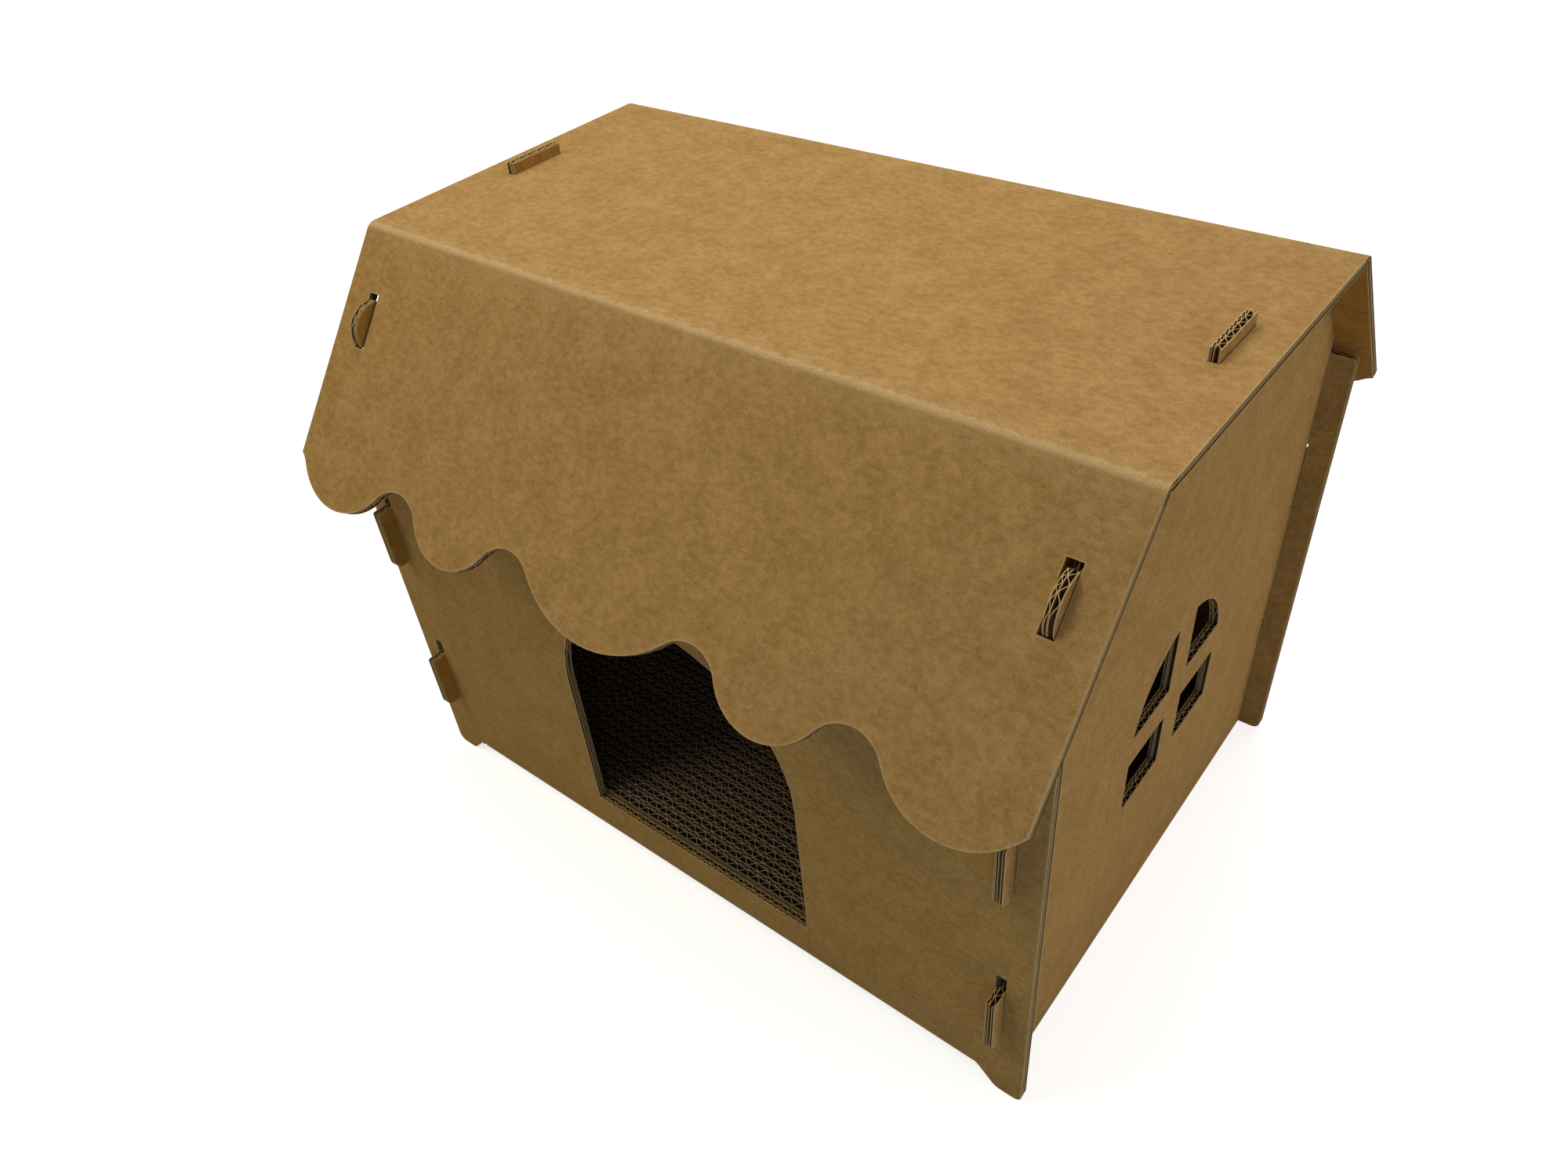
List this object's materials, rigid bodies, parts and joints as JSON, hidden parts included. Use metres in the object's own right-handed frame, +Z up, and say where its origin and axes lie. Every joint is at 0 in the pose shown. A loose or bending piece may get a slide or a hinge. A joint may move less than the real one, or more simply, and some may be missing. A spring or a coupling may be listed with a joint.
{
  "type": "cat house",
  "caption": "Slotted cardboard cat house with an arched doorway, arched paned windows, a creased scalloped roof and a loose corrugated scratching pad.",
  "frame": {"origin": "on the floor, in the middle of the house", "axes": "+X to the right along the front, +Y from the doorway to the back, +Z up"},
  "size_m": [0.449, 0.3938, 0.359],
  "materials": {
    "kraft_wall": "matt kraft liner, flutes at the cut edges",
    "kraft_side": "matt kraft liner with a faint washboard of the flutes",
    "kraft_roof": "matt kraft liner, paler along the pressed creases",
    "kraft_pad": "open flute ends of strips glued side by side"
  },
  "bodies": {
    "scratching_pad": {"pad_strip_01": "kraft_pad", "pad_strip_02": "kraft_pad", "pad_strip_03": "kraft_pad", "pad_strip_04": "kraft_pad", "pad_strip_05": "kraft_pad", "pad_strip_06": "kraft_pad", "pad_strip_07": "kraft_pad", "pad_strip_08": "kraft_pad", "pad_strip_09": "kraft_pad", "pad_strip_10": "kraft_pad", "pad_strip_11": "kraft_pad", "pad_strip_12": "kraft_pad", "pad_strip_13": "kraft_pad", "pad_strip_14": "kraft_pad", "pad_strip_15": "kraft_pad", "pad_strip_16": "kraft_pad", "pad_strip_17": "kraft_pad", "pad_strip_18": "kraft_pad", "pad_strip_19": "kraft_pad", "pad_strip_20": "kraft_pad", "pad_strip_21": "kraft_pad", "pad_strip_22": "kraft_pad", "pad_strip_23": "kraft_pad", "pad_strip_24": "kraft_pad", "pad_strip_25": "kraft_pad", "pad_strip_26": "kraft_pad", "pad_strip_27": "kraft_pad", "pad_strip_28": "kraft_pad", "pad_strip_29": "kraft_pad", "pad_strip_30": "kraft_pad", "pad_strip_31": "kraft_pad", "pad_strip_32": "kraft_pad", "pad_strip_33": "kraft_pad", "pad_strip_34": "kraft_pad", "pad_strip_35": "kraft_pad", "pad_strip_36": "kraft_pad", "pad_strip_37": "kraft_pad", "pad_strip_38": "kraft_pad", "pad_strip_39": "kraft_pad", "pad_strip_40": "kraft_pad", "pad_strip_41": "kraft_pad", "pad_strip_42": "kraft_pad", "pad_strip_43": "kraft_pad", "pad_strip_44": "kraft_pad", "pad_strip_45": "kraft_pad", "pad_strip_46": "kraft_pad", "pad_strip_47": "kraft_pad", "pad_strip_48": "kraft_pad", "pad_strip_49": "kraft_pad"},
    "end_walls": {"front_panel": "kraft_wall", "back_panel": "kraft_wall"},
    "sides_and_roof": {"left_side_panel": "kraft_side", "right_side_panel": "kraft_side", "roof_top": "kraft_roof"},
    "front_awning_leaf": {"front_awning": "kraft_roof"},
    "rear_awning_leaf": {"rear_awning": "kraft_roof"}
  },
  "joints": [
    {"name": "house_lifts_off_pad", "type": "slide", "parent": "scratching_pad", "child": "end_walls", "axis": [0, 0, 1], "range_m": [0, 0.15]},
    {"name": "hooks_lift_in_slots", "type": "slide", "parent": "end_walls", "child": "sides_and_roof", "axis": [0, 0, 1], "range_m": [0, 0.01]},
    {"name": "front_awning_crease", "type": "hinge", "parent": "sides_and_roof", "child": "front_awning_leaf", "pos_m": [0, -0.1015, 0.353], "axis": [-1, 0, 0], "range_deg": [0, 50.5]},
    {"name": "rear_awning_crease", "type": "hinge", "parent": "sides_and_roof", "child": "rear_awning_leaf", "pos_m": [0, 0.1015, 0.353], "axis": [1, 0, 0], "range_deg": [0, 50.5]}
  ]
}
